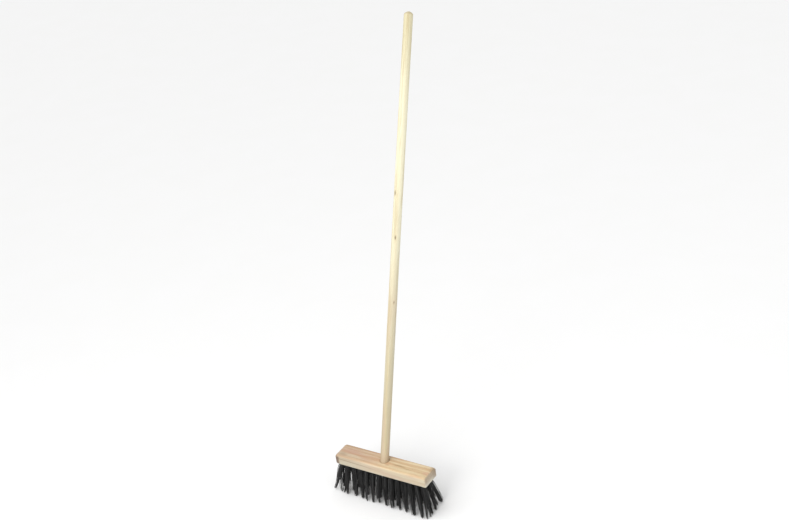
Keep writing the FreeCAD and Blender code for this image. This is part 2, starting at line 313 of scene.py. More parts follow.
def stock_front_line(m, pos, x, z, normal_y):
    """A dark line along the left half of the front face, below the round-over."""
    height = m.math("ADD", m.times(x, -0.0417), Z_UNDER + 0.0129)
    wave = m.grain(pos, scale=(30.0, 1.0, 1.0), detail=2.0)
    wave = m.times(m.math("SUBTRACT", wave, 0.5), 0.0018)
    distance = m.math("ABSOLUTE", m.math("SUBTRACT", m.math("ADD", z, wave), height))
    line = m.times(m.remap(distance, span=(0.0012, 0.0003)), m.remap(x, span=(0.01, -0.07)))
    return m.times(line, m.remap(normal_y, span=(-0.5, -0.9)))


def handle_corner_shade(m, pos, normal_z):
    """Painted shade in the corner round the handle."""
    seat = FOOT + AXIS * (18.0 * MM)
    away = m.vector("SUBTRACT", pos, tuple(seat))
    distance = m.length(m.vector("MULTIPLY", away, (1.0, 0.95, 1.0)))
    return m.times(m.remap(distance, span=(0.0165, 0.0118)),
                   m.remap(normal_z, span=(0.4, 0.9)))


def wood_stock():
    m = Shader("stock_wood")
    pos = m.position()
    x, y, z = m.split(pos)
    normal_x, normal_y, normal_z = m.split(m.node("ShaderNodeNewGeometry").outputs["Normal"])
    late = stock_rings(m, pos)
    fibre = m.grain(pos, scale=(26.0, 900.0, 900.0), detail=4.0, rough=0.62)
    fine = m.grain(pos, scale=(90.0, 2600.0, 2600.0), detail=2.0, rough=0.6)
    bands = m.grain(pos, scale=(3.2, 95.0, 95.0), rough=0.55)
    blush = m.grain(pos, scale=(6.0, 60.0, 60.0), rough=0.6, shift=(0.7, 0.3, 0.9))
    pores = m.grain(pos, scale=(400.0, 1500.0, 1500.0), rough=0.65)
    fleck = stock_flecks(m, pos)

    # broad colour drift: pinkish orange on the left, yellower on the right
    drift = m.grain(pos, scale=(9.0, 16.0, 16.0), detail=2.0, shift=(0.31, 0.1, 0.2))
    drift = m.times(m.math("SUBTRACT", drift, 0.5), 0.20)
    side = m.remap(m.math("ADD", x, drift), span=(-0.11, 0.09))
    early = m.mix(side, (226, 188, 153), (232, 202, 158))
    dark = m.mix(side, (190, 141, 105), (201, 158, 112))
    base = m.paint(early,
                   (late, 0.40, dark),
                   (bands, 0.70, (203, 158, 118), (0.42, 0.66)),
                   (bands, 0.45, (240, 217, 184), (0.52, 0.32)),
                   (blush, 0.50, (212, 150, 116), (0.50, 0.68)),
                   (fibre, 0.42, (168, 118, 82), (0.50, 0.78)),
                   (fine, 0.20, (150, 104, 72), (0.55, 0.8)),
                   (fleck, 0.62, (139, 92, 60)))
    base = stock_spots_and_shadow(m, pos, base)

    endness = m.remap(m.math("ABSOLUTE", normal_x), span=(0.25, 0.80))
    sideness = m.remap(m.math("ABSOLUTE", normal_y), span=(0.55, 0.98))
    right_back = m.times(m.remap(y, span=(0.0, 0.022)), m.remap(x, span=(0.130, 0.142)))
    # painted highlight along the lower arris, in ragged patches
    low = m.remap(z, span=(Z_UNDER + 0.0060, Z_UNDER + 0.0002))
    arris_breakup = m.grain(pos, scale=(55.0, 130.0, 130.0), detail=4.0, rough=0.7)
    lower_arris_highlight = m.times(low, m.remap(arris_breakup, span=(0.32, 0.62)))
    left_stain = m.times(m.remap(x, span=(-0.1285, -0.1360)),
                         m.remap(z, span=(Z_UNDER + 0.0262, Z_UNDER + 0.0205)))
    base = m.paint(base,
                   (endness, 0.88, stock_end_grain(m, x, z, late, pores)),
                   (right_back, 0.55, (146, 116, 88)),
                   (sideness, 0.42, (236, 218, 190)),
                   (stock_front_line(m, pos, x, z, normal_y), 0.62, (132, 98, 66)),
                   (lower_arris_highlight, 0.65, (244, 232, 208)),
                   (m.remap(normal_z, span=(-0.5, -0.95)), 0.5, (222, 196, 160)),  # underside
                   # painted shade round the foot of the handle
                   (handle_corner_shade(m, pos, normal_z), 0.50, (138, 100, 68)),
                   (left_stain, 0.90, (134, 99, 77)))

    # overall tone: darker to the left; painted shade darkens the front and back faces
    left_tone = m.multiply(base, (0.885, 0.92, 0.915))
    base = m.mix(m.remap(x, span=(0.01, -0.12)), base, left_tone)
    top_tone = m.mix(m.remap(x, span=(-0.06, 0.04)), (0.84, 0.90, 0.96), (0.875, 0.955, 1.0))
    base = m.multiply(base, m.mix(sideness, top_tone, (0.69, 0.77, 0.83)))

    rough = m.remap(fibre, span=(0.3, 0.8), to=(0.36, 0.52), smooth=False)
    m.set(Base_Color=base, Roughness=m.math("ADD", rough, m.times(endness, 0.18)),
          Specular_IOR_Level=0.42, Coat_Weight=0.16, Coat_Roughness=0.28)
    m.set(Normal=m.relief((m.inverse(late), 0.00018, 0.5),
                          (fibre, 0.00012, 0.55),
                          (m.inverse(fleck), 0.00012, 0.6),
                          (m.times(pores, endness), 0.0002, 0.6)))
    return m.material


# ------------------------------------------------------------------ handle wood
def handle_knots(m, local):
    """Masks of the grain pushed aside by the knots, and of their dark cores."""
    pushes, cores = [], []
    for along, degrees, size in KNOTS:
        angle = math.radians(degrees)
        centre = (math.cos(angle) * HANDLE_R, math.sin(angle) * HANDLE_R, along * HANDLE_LEN)
        offset = m.vector("MULTIPLY", m.vector("SUBTRACT", local, centre), (1.0, 1.0, 0.30))
        ragged = m.noise(local, scale=420.0, detail=2.0, out=m.COLOUR)
        offset = m.vector("ADD", offset, m.wobble(ragged, amount=(0.0016, 0.0016, 0.0016)))
        distance = m.length(offset)
        pushes.append(m.remap(distance, span=(size * MM * 2.6, 0.0)))
        cores.append(m.remap(distance, span=(size * MM * 1.05, size * MM * 0.15)))
    return m.most(pushes), m.most(cores)


def handle_rings(m, local, push):
    wander = m.grain(local, scale=(34.0, 34.0, 1.7), detail=2.0, out=m.COLOUR)
    wander = m.wobble(wander, amount=(0.0100, 0.0100, 0.0))
    rings = m.ring_count(local, wander, pith=(0.021, 0.034, 0.0), stretch=(1.0, 1.0, 0.012),
                         per_metre=420.0)
    rings = m.math("ADD", rings, m.times(push, 1.6))
    return m.latewood(rings, rise=(0.35, 0.92), fall=(1.0, 0.94), row=3.1, scale=1.3,
                      faintest=0.2)


def wood_handle():
    m = Shader("handle_wood")
    local = m.attribute("local", "Vector")  # x, y across the handle, z along it from the foot
    along = m.split(local)[2]
    push, core = handle_knots(m, local)
    late = handle_rings(m, local, push)
    fibre = m.grain(local, scale=(1300.0, 1300.0, 22.0), detail=4.0, rough=0.6)
    fine = m.grain(local, scale=(3200.0, 3200.0, 80.0), detail=2.0, rough=0.6)
    streak = m.grain(local, scale=(230.0, 230.0, 3.2), rough=0.55)
    patch = m.grain(local, scale=(40.0, 40.0, 6.0), detail=2.0)
    grub = m.grain(local, scale=(60.0, 60.0, 14.0), detail=4.0, rough=0.65)
    long_marks = m.grain(local, scale=(150.0, 150.0, 4.6), detail=4.0, rough=0.6,
                         shift=(0.2, 0.6, 0.1))
    short_marks = m.grain(local, scale=(420.0, 420.0, 11.0), rough=0.6, shift=(0.5, 0.1, 0.7))
    rosy = m.grain(local, scale=(60.0, 60.0, 5.0), detail=2.0, shift=(0.9, 0.4, 0.3))

    # zones along the handle; painted shade makes it darker and greyer towards the foot
    shaded_to_foot = m.remap(along, span=(HANDLE_LEN * 0.70, HANDLE_LEN * 0.04))
    rounded_end = m.remap(along, span=(HANDLE_LEN - 0.0085, HANDLE_LEN - 0.0050))
    # darker towards the upper end
    upper_zone = m.remap(along, span=(HANDLE_LEN - 0.26, HANDLE_LEN - 0.01))
    # painted shade on the handle just above where it leaves the stock
    seat = m.remap(along, span=(0.044, 0.0245))

    early = m.mix(shaded_to_foot, (252, 247, 220), (201, 189, 158))
    dark = m.mix(shaded_to_foot, (238, 224, 184), (176, 156, 118))
    base = m.paint(early,
                   (late, 0.75, dark),
                   (streak, 0.42, (224, 202, 158), (0.46, 0.72)),
                   (fibre, 0.30, (206, 178, 132), (0.52, 0.8)),
                   (fine, 0.16, (190, 158, 112), (0.56, 0.8)),
                   (patch, 0.22, (238, 222, 190), (0.5, 0.75)),
                   (push, 0.22, (214, 184, 136)),
                   (core, 0.80, (134, 116, 84)),
                   (core, 0.7, (92, 70, 48), (0.72, 0.98)),
                   (rounded_end, 0.55, (208, 170, 142)),
                   (upper_zone, 0.72, (225, 215, 178)),
                   (m.remap(grub, span=(0.52, 0.72)), 0.18, (196, 176, 140)),
                   (seat, 0.40, (178, 150, 112)),
                   (long_marks, 0.62, (205, 187, 146), (0.50, 0.64)),
                   (short_marks, 0.45, (188, 166, 124), (0.56, 0.70)),
                   (m.remap(rosy, span=(0.46, 0.62), to=(0.0, 0.5)), shaded_to_foot, (206, 178, 150)))
    base = m.multiply(base, m.mix(shaded_to_foot, (0.88, 0.885, 0.87), (0.885, 0.915, 0.955)))

    rough = m.remap(fibre, span=(0.3, 0.8), to=(0.40, 0.58), smooth=False)
    m.set(Base_Color=base, Roughness=rough, Specular_IOR_Level=0.38, Coat_Weight=0.08,
          Coat_Roughness=0.35)
    m.set(Normal=m.relief((m.inverse(late), 0.00012, 0.45),
                          (fibre, 0.00010, 0.5),
                          (m.inverse(core), 0.0002, 0.6)))
    return m.material


# ------------------------------------------------------------------ plastic and metal
def bristle_plastic():
    m = Shader("bristle_plastic")
    # the tone also carries a painted highlight streak on some filaments
    tone = m.attribute("tone", "Fac")  # darkness of the filament, 0 to 1
    run = m.attribute("run", "Fac")  # 0 at the hole, 1 at the tip
    pos = m.position()
    mottled = m.grain(pos, scale=(900.0, 900.0, 60.0), rough=0.6)
    die_lines = m.grain(pos, scale=(5200.0, 5200.0, 90.0), detail=2.0)
    # dust near the tips
    dust = m.times(m.remap(run, span=(0.86, 1.0)),
                   m.remap(m.noise(pos, scale=700.0, rough=0.6), span=(0.4, 0.7)))
    base = m.ramp(tone, stops=[(0.0, 0.0035), (0.45, 0.0075), (0.75, 0.015), (0.9, 0.034),
                               (1.0, 0.058)])
    base = m.paint(base,
                   (mottled, 0.35, (0.030, 0.029, 0.028), (0.5, 0.8)),
                   (dust, 0.42, (0.085, 0.078, 0.070)))
    rough = m.remap(mottled, span=(0.3, 0.75), to=(0.26, 0.40), smooth=False)
    m.set(Base_Color=base, Roughness=m.math("ADD", rough, m.times(dust, 0.2)),
          Specular_IOR_Level=0.42)
    m.set(Normal=m.relief((die_lines, 0.00005, 0.6), (mottled, 0.00006, 0.4)))
    return m.material


def metal(name, tint, rough, depth):
    """Metal brushed along X, with a dull bloom; depth is that of the brushing in metres."""
    m = Shader(name)
    pos = m.position()
    brushed = m.grain(pos, scale=(90.0, 2200.0, 2200.0), rough=0.6)
    bloom = m.noise(pos, scale=420.0, rough=0.6)
    base = m.paint(tint,
                   (brushed, 0.5, tuple(level * 0.72 for level in tint), (0.3, 0.7)),
                   (bloom, 0.5, (0.40, 0.385, 0.35), (0.55, 0.8)))
    brushed_rough = m.remap(brushed, span=(0.3, 0.7), to=(rough, rough + 0.15), smooth=False)
    bloom_rough = m.remap(bloom, span=(0.5, 0.8), to=(0.0, 0.15))
    m.set(Base_Color=base, Metallic=1.0, Roughness=m.math("ADD", brushed_rough, bloom_rough),
          Normal=m.relief((brushed, depth, 0.6)))
    return m.material


MAT_STOCK = wood_stock()
MAT_HANDLE = wood_handle()
MAT_BRISTLE = bristle_plastic()
MAT_STEEL = metal("zinc_steel", tint=(0.63, 0.62, 0.58), rough=0.26, depth=0.00004)
MAT_WIRE = metal("galvanised_wire", tint=(0.56, 0.56, 0.55), rough=0.34, depth=0.00003)


# ------------------------------------------------------------------ mesh helpers
def link(name, data):
    ob = bpy.data.objects.new(name, data)
    bpy.context.scene.collection.objects.link(ob)
    return ob


def object_from(bm, name):
    mesh = bpy.data.meshes.new(name)
    bm.to_mesh(mesh)
    bm.free()
    return link(name, mesh)


def new_piece(name, verts, faces, material, attributes):
    """An object with its normals outward; attributes: {name: (kind, value per vertex)}."""
    mesh = bpy.data.meshes.new(name)
    mesh.from_pydata([tuple(v) for v in verts], [], faces)
    mesh.update()
    for key, (kind, values) in attributes.items():
        layer = mesh.attributes.new(key, kind, "POINT")
        flat = np.asarray(values, np.float32).ravel()
        layer.data.foreach_set("vector" if kind == "FLOAT_VECTOR" else "value", flat)
    ob = link(name, mesh)
    mesh.materials.append(material)
    bm = bmesh.new()
    bm.from_mesh(mesh)
    bmesh.ops.recalc_face_normals(bm, faces=bm.faces)
    bm.to_mesh(mesh)
    bm.free()
    return ob


def assign(ob, material):
    ob.data.materials.clear()
    ob.data.materials.append(material)


def soften(ob, crease):
    """Smooth shading, sharp where faces meet at more than crease degrees."""
    ob.data.shade_smooth()
    ob.data.set_sharp_from_angle(angle=math.radians(crease))


def register(ob, part):
    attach(ob, "root")
    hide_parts(part)


# a cutter's frame is its two outline directions and the direction it runs along
UPRIGHT = (Vector((1, 0, 0)), Vector((0, 1, 0)), Vector((0, 0, 1)))
ALONG_HANDLE = (SIDE, RISE, AXIS)
FROM_BACK = (Vector((1, 0, 0)), Vector((0, 0, 1)), Vector((0, -1, 0)))


def prism(bm, outline, base, directions, depth, taper=1.0):
    """A closed prism from an outline at base; taper scales the far end."""
    u, v, w = directions
    near = [bm.verts.new(base + u * a + v * b) for a, b in outline]
    far = [bm.verts.new(base + w * depth + (u * a + v * b) * taper) for a, b in outline]
    count = len(outline)
    for i in range(count):
        j = (i + 1) % count
        bm.faces.new([near[i], near[j], far[j], far[i]])
    bm.faces.new(near[::-1])
    bm.faces.new(far)


def bore(bm, radius, sides, base, directions, depth, phase=0.0, end_radius=None):
    """A round prism, tapered where an end radius is given."""
    turns = [2 * math.pi * (i + phase) / sides for i in range(sides)]
    outline = [(radius * math.cos(a), radius * math.sin(a)) for a in turns]
    prism(bm, outline, base, directions, depth, (end_radius or radius) / radius)


def cut(target, build, name):
    """Cuts the solids that build(bm) makes out of the target."""
    bm = bmesh.new()
    build(bm)
    tool = object_from(bm, name)
    cutter = target.modifiers.new("cut", "BOOLEAN")
    cutter.operation, cutter.solver, cutter.object = "DIFFERENCE", "EXACT", tool
    graph = bpy.context.evaluated_depsgraph_get()
    done = bpy.data.meshes.new_from_object(target.evaluated_get(graph))
    target.modifiers.clear()
    target.data = done
    bpy.data.objects.remove(tool)


# ------------------------------------------------------------------ tuft layout, in mm
PITCH = 20.0  # between tufts of a row

# y: place of the row; first: its first tuft, in pitches from x = 0; seed: its random seed;
# lean: how far the tips stand off in y; ahead: pitches to the front tuft a tuft follows;
# width: how far a bundle bellies out in x
Row = namedtuple("Row", "y first seed lean ahead width")
ROWS = {
    "front": Row(y=-19.5, first=-6.5, seed=1000, lean=None, ahead=None, width=1.55),
    "midfront": Row(y=-6.5, first=-6.0, seed=1100, lean=-6.0, ahead=0.5, width=1.80),
    "midback": Row(y=6.5, first=-6.5, seed=1200, lean=6.0, ahead=1.0, width=1.80),
    "back": Row(y=19.5, first=-6.0, seed=1300, lean=17.0, ahead=1.5, width=1.50),
}
FRONT_FIRST = ROWS["front"].first
TUFT_NODES = sorted(n for n in NODES if n.startswith("tuft_") and n != "tuft_anchors")


def tuft_root(node):
    """The row name, the place in pitches from x = 0, and the mouth of the hole in metres."""
    row, number = node[5:].rsplit("_", 1)
    place = ROWS[row].first + int(number) - 1
    return row, place, Vector((place * PITCH * MM, ROWS[row].y * MM, Z_UNDER))


def is_shallow(row, place):
    """The holes of the two middle rows nearest x = 0 are shallow."""
    return "mid" in row and abs(place) < 0.75


# ------------------------------------------------------------------ stock
ROUND = 8.0 * MM  # radius of the upper arrises
EASE = 0.8 * MM  # height of the eased lower arris
ROUND_STEPS = 6

HOLE_R, HOLE_DEEP, HOLE_SHALLOW = 3.9 * MM, 13.0 * MM, 5.5 * MM
GROOVE_HALF = (5.2 * MM, 0.275 * MM)  # half sizes of an anchor groove in x and y
GROOVE_DEEP, GROOVE_SHALLOW = 10.65 * MM, 4.45 * MM
UNDERCUT = 4.0 * MM  # how far those cutters start below the underside
SOCKET_GAP = 0.1 * MM

SCREW_R = 2.0 * MM
SCREW_DEPTH, PILOT_DEPTH = 35.0 * MM, 35.5 * MM
SCREW_OVERCUT = 3.0 * MM
SCREW_SIDES, SCREW_PHASE = 32, 0.37
SINK_R, SINK_DEPTH, SINK_OVERCUT = 3.6 * MM, 1.9 * MM, 0.3 * MM


def graded(half, step):
    """Grid lines from -half to half, fine over the rounded margins and step apart between."""
    inner = half - ROUND
    marks = [half - ROUND * (1 - math.cos(math.pi / 2 * i / ROUND_STEPS))
             for i in range(ROUND_STEPS)]
    count = max(2, int(round(2 * inner / step)))
    middle = [-inner + 2 * inner * i / count for i in range(count + 1)]
    return [-v for v in marks] + middle + marks[::-1]


def round_over(x, y, z):
    """Moves a point of the plain box onto the rounded one, whose radius varies a little."""
    uneven = noise.noise(Vector((x * 22.0, y * 22.0, 7.3))) * 0.5
    uneven += noise.noise(Vector((x * 75.0, y * 75.0, 2.1))) * 0.22
    core_x = max(-(HALF_X - ROUND), min(HALF_X - ROUND, x))
    core_y = max(-(HALF_Y - ROUND), min(HALF_Y - ROUND, y))
    core_z = min(z, THICK - ROUND)
    out_x, out_y, out_z = abs(x - core_x), abs(y - core_y), z - core_z
    # superellipse corners in plan, squarer on the right, nearly round at the top
    power = 2.6 if x < 0 else 3.8
    power -= (power - 2.2) * 0.7 * max(0.0, min(1.0, out_z / ROUND))
    flat = (out_x ** power + out_y ** power) ** (1.0 / power)
    reach = math.hypot(flat, out_z)
    if reach > 1e-9:
        pull = max(out_x, out_y, out_z) / reach
        x = core_x + (x - core_x) * pull
        y = core_y + (y - core_y) * pull
        z = core_z + (z - core_z) * pull
        if out_z > 0.05 * ROUND and flat > 0.05 * ROUND:
            shave = ROUND * 0.10 * uneven * 0.35 * (2 * out_z * flat / (ROUND * ROUND))
            outward = Vector((x - core_x, y - core_y, z - core_z)).normalized()
            x, y, z = x - outward.x * shave, y - outward.y * shave, z - outward.z * shave
    return x, y, z


def ease_lower(value, half, z):
    """Pulls x or y in on the lower arris."""
    beyond = math.copysign(max(0.0, abs(value) - (half - EASE)), value)
    return value - beyond * (EASE - z) / EASE * 0.6


def knock_left(x, y, z):
    """Knocks the left upright corners round, the lower front one most."""
    from_end, from_face = HALF_X + x, HALF_Y - abs(y)
    if from_end < 0.013:
        inward = math.copysign(0.0018 * (1 - from_end / 0.013) ** 2, y)
        y -= inward * min(1.0, abs(y) / 0.02)
        if from_end < 0.011 and from_face < 0.008 and z < 0.012:
            fade = (1 - from_end / 0.011) ** 2 * (1 - from_face / 0.008) * (1 - z / 0.012)
            z += 0.0034 * fade * (1.0 if y < 0 else 0.4)
    return y, z


def shape(x, y, z):
    """A point of the finished block from one of the plain box, whose z starts at 0."""
    x, y, z = round_over(x, y, z)
    if z < EASE:
        x, y = ease_lower(x, HALF_X, z), ease_lower(y, HALF_Y, z)
    y, z = knock_left(x, y, z)
    # faint ripple left by the planer and the sander
    ripple = 0.00006 * noise.noise(Vector((x * 60.0, y * 90.0, z * 90.0)))
    ripple += 0.00012 * noise.noise(Vector((x * 12.0, y * 25.0, z * 25.0)))
    if abs(z - THICK) < 2e-4:
        z += ripple
    elif abs(abs(y) - HALF_Y) < 2e-4:
        y += math.copysign(ripple, y)
    return x, y, z + Z_UNDER


def rounded_block():
    """The planed and sanded block as a closed skin of quads."""
    grid_x = graded(HALF_X, step=2.6 * MM)
    grid_y = graded(HALF_Y, step=2.4 * MM)
    grid_z = [0.0, 0.35 * MM, EASE]
    grid_z += [EASE + (THICK - ROUND - EASE) * i / 7 for i in range(1, 8)]
    grid_z += [THICK - ROUND * math.cos(math.pi / 2 * (i / ROUND_STEPS))
               for i in range(1, ROUND_STEPS + 1)]
    grid_z = [round(v, 7) for v in grid_z]
    bm = bmesh.new()
    cache = {}

    def vert(key):
        if key not in cache:
            i, j, k = key
            cache[key] = bm.verts.new(shape(grid_x[i], grid_y[j], grid_z[k]))
        return cache[key]

    def quad(*corners):
        bm.faces.new([vert(key) for key in corners])

    nx, ny, nz = len(grid_x) - 1, len(grid_y) - 1, len(grid_z) - 1
    for i in range(nx):
        for j in range(ny):
            quad((i, j, 0), (i, j + 1, 0), (i + 1, j + 1, 0), (i + 1, j, 0))
            quad((i, j, nz), (i + 1, j, nz), (i + 1, j + 1, nz), (i, j + 1, nz))
    for i in range(nx):
        for k in range(nz):
            quad((i, 0, k), (i + 1, 0, k), (i + 1, 0, k + 1), (i, 0, k + 1))
            quad((i, ny, k), (i, ny, k + 1), (i + 1, ny, k + 1), (i + 1, ny, k))
    for j in range(ny):
        for k in range(nz):
            quad((0, j, k), (0, j, k + 1), (0, j + 1, k + 1), (0, j + 1, k))
            quad((nx, j, k), (nx, j + 1, k), (nx, j + 1, k + 1), (nx, j, k + 1))
    return object_from(bm, "stock_block")


def tuft_holes(bm):
    for row, place, root in map(tuft_root, TUFT_NODES):
        depth = HOLE_SHALLOW if is_shallow(row, place) else HOLE_DEEP
        bore(bm, HOLE_R, 28, root - UPRIGHT[2] * UNDERCUT, UPRIGHT, UNDERCUT + depth)


def anchor_grooves(bm):
    a, b = GROOVE_HALF
    for row, place, root in map(tuft_root, TUFT_NODES):
        depth = GROOVE_SHALLOW if is_shallow(row, place) else GROOVE_DEEP
        prism(bm, [(-a, -b), (a, -b), (a, b), (-a, b)], root - UPRIGHT[2] * UNDERCUT,
              UPRIGHT, UNDERCUT + depth)


def handle_socket(bm):
    bore(bm, FOOT_R + SOCKET_GAP, 72, FOOT, ALONG_HANDLE, FOOT_TAPER,
         end_radius=HANDLE_R + SOCKET_GAP)


def screw_hole(bm):
    bore(bm, SCREW_R, SCREW_SIDES, SCREW_AT - FROM_BACK[2] * SCREW_OVERCUT, FROM_BACK,
         SCREW_OVERCUT + SCREW_DEPTH, SCREW_PHASE)


def countersink(bm):
    slope = (SINK_R - SCREW_R) / SINK_DEPTH
    bore(bm, SINK_R + slope * SINK_OVERCUT, 40, SCREW_AT - FROM_BACK[2] * SINK_OVERCUT,
         FROM_BACK, SINK_OVERCUT + SINK_DEPTH, SCREW_PHASE, end_radius=SCREW_R)


def make_stock():
    ob = rounded_block()
    for build, name in ((tuft_holes, "cut_holes"), (anchor_grooves, "cut_grooves"),
                        (handle_socket, "cut_socket"), (screw_hole, "cut_screw"),
                        (countersink, "cut_sink")):
        cut(ob, build, name)
    mesh = ob.data
    bm = bmesh.new()
    bm.from_mesh(mesh)
    bmesh.ops.remove_doubles(bm, verts=bm.verts, dist=1e-7)
    bmesh.ops.dissolve_degenerate(bm, dist=1e-7, edges=bm.edges)
    bm.to_mesh(mesh)
    bm.free()
    assign(ob, MAT_STOCK)
    soften(ob, crease=38)
    ob.name = mesh.name = "broom_stock"
    register(ob, "stock")


# ------------------------------------------------------------------ handle
HANDLE_SIDES = 72
DOME_BASE = HANDLE_LEN - DOME
FOOT_EASE = 0.8 * MM  # bevel round the foot
BOW, BOW_START = 1.5 * MM, 36.0 * MM  # the foot stays straight below BOW_START
PLAIN_LEN = 20.0 * MM  # no unevenness up to here
TIGHT_LEN = 24.5 * MM  # no swelling beyond the plain radius up to here


def handle_profile():
    """Rings along the handle: (distance from the foot, radius)."""
    stations = [0.0, FOOT_EASE / 2, FOOT_EASE]
    stations += list(np.linspace(2 * FOOT_EASE, FOOT_TAPER, 12))
    stations += list(np.linspace(FOOT_TAPER, DOME_BASE, 380))[1:]
    profile = []
    for along in stations:
        if along <= FOOT_EASE:
            radius = FOOT_R - FOOT_EASE + along
        elif along <= FOOT_TAPER:
            radius = FOOT_R + (HANDLE_R - FOOT_R) * along / FOOT_TAPER
        else:
            radius = HANDLE_R
        profile.append((along, radius))
    # the end is a low blunt cone with a soft shoulder
    for i in range(1, 25):
        angle = math.pi / 2 * i / 25
        profile.append((DOME_BASE + DOME * 0.97 * math.sin(angle) ** 1.30,
                        HANDLE_R * math.cos(angle) ** 1.30))
    return profile


def handle_ring(along, radius):
    """The points of one ring, in space and in the handle's own frame."""
    t = max(0.0, along - BOW_START) / (HANDLE_LEN - BOW_START)
    bow = -BOW * 4 * t * (1 - t)
    points, local = [], []
    for j in range(HANDLE_SIDES):
        angle = 2 * math.pi * j / HANDLE_SIDES
        ca, sa = math.cos(angle), math.sin(angle)
        uneven, lift = radius, 0.0
        if along > PLAIN_LEN:
            uneven += 0.00007 * noise.noise(Vector((ca * 1.4, sa * 1.4, along * 14.0)))
            uneven += 0.00003 * noise.noise(Vector((ca * 5.0, sa * 5.0, along * 60.0)))
        if along > DOME_BASE + DOME * 0.55:
            spot = Vector((ca * radius * 260, sa * radius * 260, 5.0))
            lift = 0.00022 * noise.noise(spot)
        if along < TIGHT_LEN:
            uneven = min(uneven, radius)
        points.append(FOOT + AXIS * (along + lift) + SIDE * (ca * uneven + bow)
                      + RISE * (sa * uneven))
        local.append((ca * uneven, sa * uneven, along))
    return points, local


def pilot_hole(bm):
    bore(bm, SCREW_R, SCREW_SIDES, SCREW_AT, FROM_BACK, PILOT_DEPTH, SCREW_PHASE)


def make_handle():
    """A turned pole, very slightly bowed, with a rounded upper end and a tapered foot."""
    profile = handle_profile()
    verts, local, faces = [], [], []
    for along, radius in profile:
        ring, ring_local = handle_ring(along, radius)
        verts += ring
        local += ring_local
    last = (len(profile) - 1) * HANDLE_SIDES
    for start in range(0, last, HANDLE_SIDES):
        for j in range(HANDLE_SIDES):
            a, b = start + j, start + (j + 1) % HANDLE_SIDES
            faces.append((a, b, b + HANDLE_SIDES, a + HANDLE_SIDES))
    foot_centre = len(verts)
    top_centre = foot_centre + 1
    verts += [FOOT.copy(), FOOT + AXIS * (DOME_BASE + DOME * 0.975)]
    local += [(0, 0, 0), (0, 0, HANDLE_LEN)]
    for j in range(HANDLE_SIDES):
        following = (j + 1) % HANDLE_SIDES
        faces.append((foot_centre, following, j))
        faces.append((last + j, last + following, top_centre))
    ob = new_piece("broom_handle", verts, faces, MAT_HANDLE,
                   {"local": ("FLOAT_VECTOR", local)})
    cut(ob, pilot_hole, "cut_pilot")
    assign(ob, MAT_HANDLE)
    soften(ob, crease=40)
    register(ob, "handle")


# ------------------------------------------------------------------ tufts
# where the front bundles' points stand on the floor, left to right: x, y in mm for each
# point; a split bundle has two
FRONT_TIPS = [
    [(-164, -27), (-141, -29)], [(-119, -34), (-128, -31)], [(-91, -31)], [(-67, -33)],
    [(-50, -37)], [(-30, -37)], [(-13, -35)], [(12, -35)], [(34, -39)], [(55, -37)],
    [(78, -38)], [(104, -41)], [(131, -42)], [(144, -40), (149, -31)],
]
# the same for the end bundles of the other rows, by row and place
END_TIPS = {
    ("midfront", 6.0): [(146, -17), (139, -13)],
    ("midback", 6.5): [(147, 2), (142, 19)],
    ("back", 6.0): [(145, 38)],
    ("midfront", -6.0): [(-143, -12)],
    ("midback", -6.5): [(-148, 6), (-144, 17)],
    ("back", -6.0): [(-140, 36)],
}
FILAMENTS = 34  # legs per tuft, two to a folded filament
FILAMENT_R = 0.65 * MM
ROOT_R = 3.28 * MM  # radius the legs fill at the mouth of the hole
FOLD_HALF = 0.81 * MM  # least distance of a leg from the fold line in y
SEGMENTS, SIDES, FOLD_STEPS = 14, 8, 6
GOLDEN_ANGLE = 2.39996

# a point a bundle tapers to: place on the floor, weight, and how much shorter it is in mm
Point = namedtuple("Point", "at weight shorter")
# the fold over the anchor: height above the underside in mm, rise of the arch with width,
# and how far a filament is squeezed in the hole
Fold = namedtuple("Fold", "height lift squeeze")


def tip_targets(row_name, place, rng):
    """The floor points of a bundle, in mm."""
    if row_name == "front":
        return FRONT_TIPS[int(round(place - FRONT_FIRST))]
    if (row_name, place) in END_TIPS:
        return END_TIPS[(row_name, place)]
    row = ROWS[row_name]
    x = place * PITCH
    tip_y = row.y + row.lean + rng.uniform(-3.5, 3.0)
    # the rows fan out towards the ends
    fan = math.copysign(20.0 * (abs(x) / (-FRONT_FIRST * PITCH)) ** 2.2, x)
    tip_x = x + fan * 0.9
    # a rear bundle partly follows the front one it stands behind
    ahead_x, ahead_y = FRONT_TIPS[int(place + row.ahead - FRONT_FIRST)][0]
    follow = ahead_x - 0.70 * (tip_y - ahead_y)
    tip_x += (follow - tip_x) * (0.45 - 0.0025 * x)
    tip_x += rng.uniform(-2.6, 2.6)
    return [(tip_x, tip_y)]


def leg_places(phase):
    """Where filaments leave the hole: x, and y as a distance to either side of the fold."""
    places = []
    i = 0
    while len(places) < FILAMENTS // 2:
        radius = ROOT_R * math.sqrt((i + 0.5) / FILAMENTS)
        angle = phase + i * GOLDEN_ANGLE
        i += 1
        x, y = radius * math.cos(angle) * 0.97, radius * math.sin(angle)
        if y > 0 or i > FILAMENTS:
            y = FOLD_HALF + abs(y) * (ROOT_R - FOLD_HALF) / ROOT_R
            widest = math.sqrt(max(ROOT_R ** 2 - y ** 2, 0))
            places.append((math.copysign(min(abs(x), widest), x), y))
    return places


